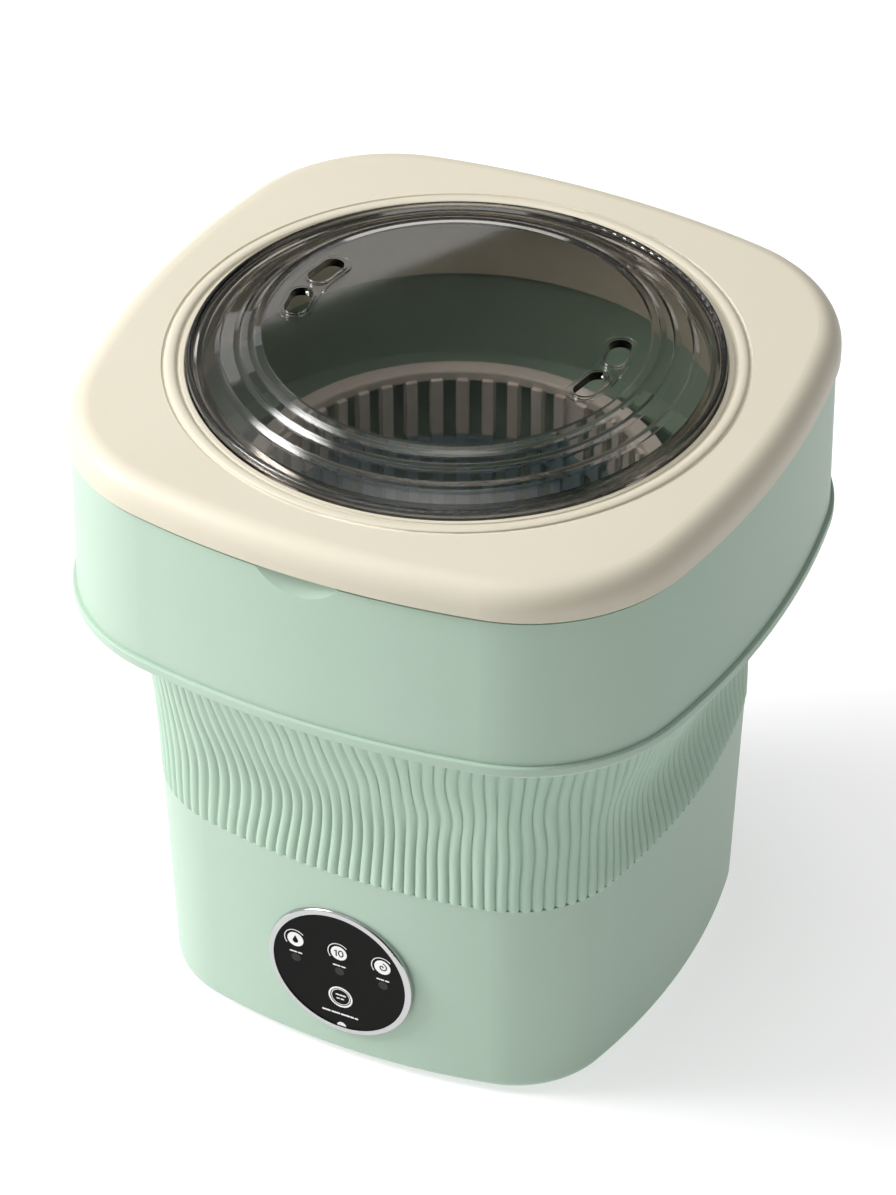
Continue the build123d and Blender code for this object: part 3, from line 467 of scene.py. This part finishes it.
# A drop, the number 10 and a spiral on the three keys.
key_marks = bmesh.new()
glyph_low, glyph_high = -0.05, key_face + 0.05
glyph_stroke = 0.6
drop = circle(-key_pitch, key_height - 0.7, 1.45, 28, start=-205, sweep=230)
slab(key_marks, drop + [(-key_pitch, key_height + 2.5)], glyph_low, glyph_high)
stroke(key_marks, [(-2.1, key_height + 1.0), (-1.35, key_height + 1.8), (-1.35, key_height - 1.9)],
       0.65, glyph_low, glyph_high)
oval = [(1.1 + 1.15 * math.cos(math.radians(10 * k)), key_height + 1.8 * math.sin(math.radians(10 * k)))
        for k in range(36)]
half_oval = len(oval) // 2
stroke(key_marks, oval[:half_oval + 1], glyph_stroke, glyph_low, glyph_high)
stroke(key_marks, oval[half_oval:] + oval[:1], glyph_stroke, glyph_low, glyph_high)
spiral = [(key_pitch + (0.25 + 0.0052 * a) * math.cos(math.radians(a)),
           key_height + (0.25 + 0.0052 * a) * math.sin(math.radians(a)))
          for a in range(0, 460, 20)]
stroke(key_marks, spiral, glyph_stroke, glyph_low, glyph_high)
piece("key_pictograms", key_marks, materials["panel_black"], "base", smooth=False)

# A light sensor's disc, cut off by the edge of the glass.
sensor = bmesh.new()
sensor_middle, sensor_radius = -glass_radius + 0.2, 2.4
edge_margin = 0.15
sensor_outline = [(u, v) for u, v in circle(0.0, sensor_middle, sensor_radius, 60)
                  if math.hypot(u, v) < glass_radius - edge_margin]
sensor_outline.sort(key=lambda point: math.atan2(point[1] - sensor_middle - 0.2, -point[0]))
slab(sensor, sensor_outline, mark_low, mark_high)
piece("panel_sensor", sensor, materials["key_white"], "base", smooth=False)


# Floor, lights and camera -------------------------------------------------------
floor_build = bmesh.new()
floor_half = 9.0
corners = [floor_build.verts.new((x * floor_half, y * floor_half, 0.0))
           for x, y in ((-1, -1), (1, -1), (1, 1), (-1, 1))]
floor_build.faces.new(corners)
floor_mesh = bpy.data.meshes.new("floor")
floor_build.to_mesh(floor_mesh)
floor_build.free()
floor = bpy.data.objects.new("floor", floor_mesh)
bpy.context.scene.collection.objects.link(floor)
floor_material, floor_tree, floor_shader = new_material("floor_paper")
floor_shader.inputs["Roughness"].default_value = 0.9
floor_shader.inputs["Specular IOR Level"].default_value = 0.1
floor_tone = ramp(floor_tree, noise(floor_tree, 3.0), (0.515, 0.515, 0.515), (0.525, 0.525, 0.525))
floor_tree.links.new(floor_tone, floor_shader.inputs["Base Color"])
floor_shader.inputs["Emission Color"].default_value = (1.0, 1.0, 1.0, 1.0)
floor_shader.inputs["Emission Strength"].default_value = 0.57
floor_mesh.materials.append(floor_material)

# The room is brightest behind and above the left shoulder and dim at the far right.
world = bpy.data.worlds.new("studio")
bpy.context.scene.world = world
world.use_nodes = True
world_tree = world.node_tree
background = world_tree.nodes["Background"]
direction = world_tree.nodes.new("ShaderNodeTexCoord")
toward = world_tree.nodes.new("ShaderNodeVectorMath")
toward.operation = "DOT_PRODUCT"
toward.inputs[1].default_value = (-0.75, -0.50, 0.43)
world_tree.links.new(direction.outputs["Generated"], toward.inputs[0])
glow = world_tree.nodes.new("ShaderNodeMapRange")
glow.interpolation_type = "SMOOTHSTEP"
glow.inputs["From Min"].default_value = 0.1
glow.inputs["From Max"].default_value = 0.95
glow.inputs["To Min"].default_value = 0.06
glow.inputs["To Max"].default_value = 0.70
world_tree.links.new(toward.outputs["Value"], glow.inputs["Value"])
world_tree.links.new(glow.outputs["Result"], background.inputs["Strength"])
background.inputs["Color"].default_value = (1.0, 1.0, 1.0, 1.0)


lamp_target_z = 0.2


def soft_edges(lamp):
    """Fades an area light toward its edges."""
    lamp.use_nodes = True
    tree = lamp.node_tree
    emission = tree.nodes["Emission"]
    geometry = tree.nodes.new("ShaderNodeNewGeometry")
    split = tree.nodes.new("ShaderNodeSeparateXYZ")
    tree.links.new(geometry.outputs["Parametric"], split.inputs["Vector"])
    product = tree.nodes.new("ShaderNodeMath")
    product.operation = "MULTIPLY"
    for place, axis in enumerate(("X", "Y")):
        fold = tree.nodes.new("ShaderNodeMath")
        fold.operation = "PINGPONG"
        fold.inputs[1].default_value = 0.5
        tree.links.new(split.outputs[axis], fold.inputs[0])
        fade = tree.nodes.new("ShaderNodeMapRange")
        fade.interpolation_type = "SMOOTHSTEP"
        fade.inputs["From Max"].default_value = 0.42
        fade.inputs["To Max"].default_value = 1.6
        tree.links.new(fold.outputs["Value"], fade.inputs["Value"])
        tree.links.new(fade.outputs["Result"], product.inputs[place])
    tree.links.new(product.outputs["Value"], emission.inputs["Strength"])


def softbox(name, azimuth, elevation, distance, width, height, power):
    """Area light aimed at the object's middle; azimuth 0 is the panel's side, 90 is +X."""
    lamp = bpy.data.lights.new(name, "AREA")
    lamp.shape = "RECTANGLE"
    lamp.size = width
    lamp.size_y = height
    lamp.energy = power
    holder = bpy.data.objects.new(name, lamp)
    a, e = math.radians(azimuth), math.radians(elevation)
    away = Vector((math.sin(a) * math.cos(e), -math.cos(a) * math.cos(e), math.sin(e)))
    holder.location = Vector((0.0, 0.0, lamp_target_z)) + away * distance
    holder.rotation_euler = away.to_track_quat("Z", "Y").to_euler()
    bpy.context.scene.collection.objects.link(holder)
    return holder


# name, azimuth, elevation, distance, width, height, power
for lamp_facts in (
    ("key_light", -95.0, 45.0, 2.6, 1.9, 1.9, 4.0),
    ("front_light", -65.0, 36.0, 2.8, 1.5, 2.2, 98.0),
    ("top_light", 0.0, 86.0, 2.4, 2.4, 2.4, 20.0),
    ("back_light", 112.0, 42.0, 2.8, 2.4, 2.4, 6.0),
):
    soft_edges(softbox(*lamp_facts).data)

# A low panel behind the left side that the flat of the lid mirrors; one long edge of it
# crosses the reflection.
mirror_turn = math.radians(61.8)
mirror_long, mirror_wide = 1.1, 0.6
mirror_edge = Vector((-0.640, 1.207, 1.243))
mirror = softbox("mirror_panel", 0.0, 90.0, 1.0, mirror_long, mirror_wide, 2.5)
mirror_side = Vector((-math.sin(mirror_turn), math.cos(mirror_turn), 0.0))
mirror.location = mirror_edge + mirror_side * mirror_wide / 2
mirror.rotation_euler = (0.0, 0.0, mirror_turn)

# The camera looks down at the corner between the panel's side and the right side.
view_azimuth, view_elevation = math.radians(26.5), math.radians(37.4)
view_distance = 2.84
view_shift, view_height = -0.00407, 0.1915
view_right = Vector((math.cos(view_azimuth), math.sin(view_azimuth), 0.0))
view_aim = view_right * view_shift + Vector((0.0, 0.0, view_height))
view_back = Vector((math.sin(view_azimuth) * math.cos(view_elevation),
                    -math.cos(view_azimuth) * math.cos(view_elevation),
                    math.sin(view_elevation)))
lens = bpy.data.cameras.new("camera")
lens.sensor_fit = "HORIZONTAL"
lens.sensor_width = 36.0
lens.lens = 244.0
camera = bpy.data.objects.new("camera", lens)
camera.location = view_aim + view_back * view_distance
camera.rotation_euler = view_back.to_track_quat("Z", "Y").to_euler()
bpy.context.scene.collection.objects.link(camera)
bpy.context.scene.camera = camera
bpy.context.scene.view_settings.view_transform = "Standard"
